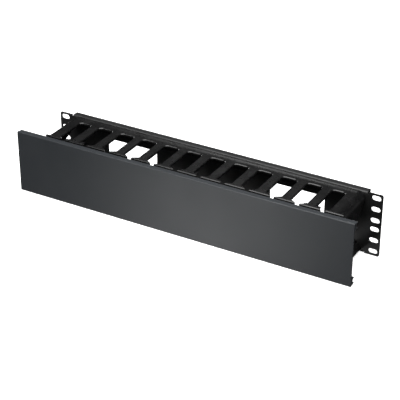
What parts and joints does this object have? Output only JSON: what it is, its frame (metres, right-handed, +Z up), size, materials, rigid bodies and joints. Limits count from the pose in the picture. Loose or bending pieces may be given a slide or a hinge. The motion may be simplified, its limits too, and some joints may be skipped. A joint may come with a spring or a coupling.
{
  "type": "horizontal cable manager",
  "caption": "Horizontal rack cable manager: a folded steel panel with slotted ears, rows of T-headed fingers above and below a duct, and a clip-on cover that swings up.",
  "frame": {"origin": "centre of the plate's rear face, which sits on the rack rails, midway between the rack slots", "axes": "+X to the right seen from the front, +Y into the rack, +Z up"},
  "size_m": [0.4964, 0.0925, 0.0888],
  "materials": {
    "black_steel": "satin black powder coat on folded sheet steel",
    "finger_plastic": "black moulded ABS with a low sheen",
    "cover_plastic": "smooth satin extruded PVC, dark blue grey",
    "clip_plastic": "black moulded nylon",
    "rivet_black": "black blind rivets"
  },
  "bodies": {
    "manager": {"back_plate": "black_steel", "top_finger_row": "finger_plastic", "bottom_finger_row": "finger_plastic", "top_rivets": "rivet_black", "bottom_rivets": "rivet_black", "hinge_clip_top_left": "clip_plastic", "hinge_clip_top_centre": "clip_plastic", "hinge_clip_top_right": "clip_plastic", "hinge_clip_bottom_left": "clip_plastic", "hinge_clip_bottom_centre": "clip_plastic", "hinge_clip_bottom_right": "clip_plastic"},
    "cover": {"cover": "cover_plastic"}
  },
  "joints": [
    {"name": "cover_hinge", "type": "hinge", "parent": "manager", "child": "cover", "pos_m": [0, -0.0745, 0.0389], "axis": [-1, 0, 0], "range_deg": [0, 90]}
  ]
}
